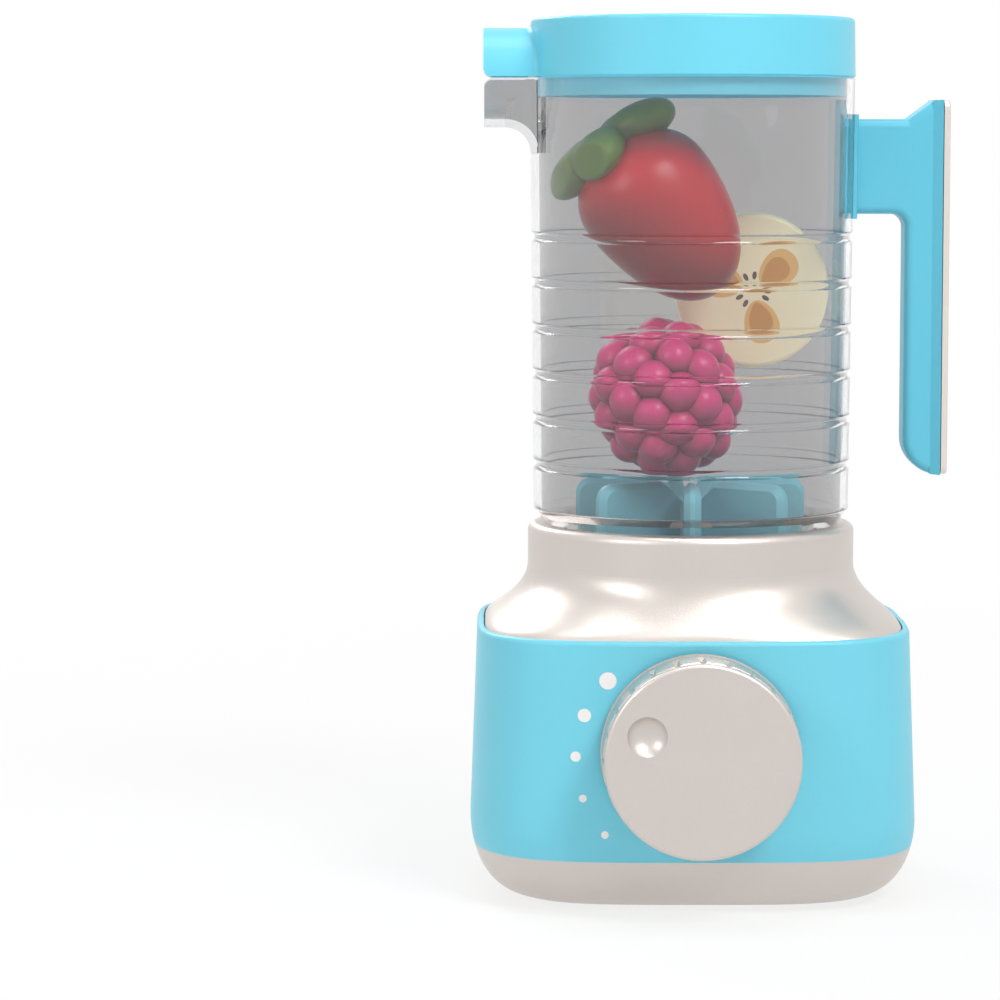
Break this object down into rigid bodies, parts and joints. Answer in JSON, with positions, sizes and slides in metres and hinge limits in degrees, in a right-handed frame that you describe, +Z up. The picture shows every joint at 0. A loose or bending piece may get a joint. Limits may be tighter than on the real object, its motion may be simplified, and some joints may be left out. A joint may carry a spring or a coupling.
{
  "type": "toy blender",
  "caption": "Toy blender: rounded-square base with a notched dial, clear grooved jug with a spout and open handle, lift-off lid, turning paddle blades and play food inside.",
  "frame": {"origin": "the point on the ground below the jug's axis, midway between the four feet", "axes": "+Z up along the jug's axis; +X towards the handle, -X towards the spout; -Y towards the dial"},
  "size_m": [0.1427, 0.1386, 0.2598],
  "materials": {
    "cyan_shell": "gloss",
    "pearl_tray": "gloss",
    "cyan_lid": "gloss",
    "cyan_grip": "satin",
    "pearl_dial": "gloss",
    "cyan_blades": "gloss",
    "pearl_door": "satin",
    "pearl_collar": "gloss",
    "pearl_strip": "gloss",
    "smoke_jug": "clear",
    "grey_foot": "matt",
    "zinc_screw": "satin",
    "cell_sleeve": "satin",
    "contact_metal": "satin",
    "gearbox_white": "satin",
    "motor_metal": "satin",
    "motor_plastic": "satin",
    "shaft_steel": "satin",
    "gear_white": "satin",
    "bush_grey": "satin",
    "coupler_grey": "satin",
    "detent_plastic": "satin",
    "spring_steel": "satin",
    "switch_plastic": "satin",
    "board_green": "satin",
    "berry_red": "gloss",
    "leaf_green": "gloss",
    "banana_cream": "satin",
    "raspberry_pink": "gloss"
  },
  "bodies": {
    "base": {"base_tray": "pearl_tray", "rubber_feet": "grey_foot", "casing_screws": "zinc_screw", "body_shell": "cyan_shell", "collar_cover": "pearl_collar", "collar_screws": "zinc_screw", "battery_cells": "cell_sleeve", "battery_springs": "contact_metal", "battery_contacts": "contact_metal", "gearbox_plate": "gearbox_white", "gearbox_screws": "zinc_screw", "motor_can": "motor_metal", "motor_end_cap": "motor_plastic", "motor_screws": "zinc_screw", "idler_pin": "shaft_steel", "lower_bush": "bush_grey", "upper_bush": "bush_grey", "detent_spring": "spring_steel", "speed_switch": "switch_plastic", "switch_board": "board_green", "board_components": "switch_plastic", "board_screws": "zinc_screw"},
    "battery_door": {"battery_door": "pearl_door", "battery_door_screw": "zinc_screw"},
    "motor_rotor": {"motor_shaft": "shaft_steel", "motor_pinion": "gear_white"},
    "idler": {"idler_gear": "gear_white"},
    "drive": {"drive_gear": "gear_white", "drive_shaft": "shaft_steel", "drive_clip": "shaft_steel", "drive_coupler": "coupler_grey"},
    "dial": {"dial_ring": "pearl_dial", "dial_cap": "pearl_dial", "detent_wheel": "detent_plastic"},
    "jug": {"jug_shell": "smoke_jug", "blade_bush": "bush_grey", "handle_grip": "cyan_grip", "handle_strip": "pearl_strip", "strawberry_body": "berry_red", "strawberry_leaves": "leaf_green", "banana_slice": "banana_cream", "raspberry": "raspberry_pink"},
    "blades": {"blade_impeller": "cyan_blades", "blade_shaft": "shaft_steel", "blade_washer": "shaft_steel", "coupling_socket": "coupler_grey"},
    "lid": {"lid": "cyan_lid"}
  },
  "joints": [
    {"name": "jug_lift", "type": "slide", "parent": "base", "child": "jug", "axis": [0, 0, 1], "range_m": [0, 0.06]},
    {"name": "lid_lift", "type": "slide", "parent": "jug", "child": "lid", "axis": [0, 0, 1], "range_m": [0, 0.05]},
    {"name": "blade_spin", "type": "hinge", "parent": "jug", "child": "blades", "pos_m": [0, 0, 0.11], "axis": [0, 0, 1], "continuous": true},
    {"name": "drive_spin", "type": "hinge", "parent": "base", "child": "drive", "pos_m": [0, 0, 0.075], "axis": [0, 0, 1], "continuous": true},
    {"name": "idler_spin", "type": "hinge", "parent": "base", "child": "idler", "pos_m": [0, 0.0193, 0.073], "axis": [0, 0, 1], "continuous": true},
    {"name": "motor_spin", "type": "hinge", "parent": "base", "child": "motor_rotor", "pos_m": [0.0193, 0.0193, 0.067], "axis": [0, 0, 1], "continuous": true},
    {"name": "dial_turn", "type": "hinge", "parent": "base", "child": "dial", "pos_m": [0, -0.065, 0.0484], "axis": [0, -1, 0], "range_deg": [-20, 60]},
    {"name": "door_slide", "type": "slide", "parent": "base", "child": "battery_door", "axis": [0, 0, -1], "range_m": [0, 0.025]}
  ],
  "couplings": [
    {"joint": "drive_spin", "follows": "blade_spin", "ratio": 1},
    {"joint": "idler_spin", "follows": "blade_spin", "ratio": -3},
    {"joint": "motor_spin", "follows": "blade_spin", "ratio": 9}
  ]
}
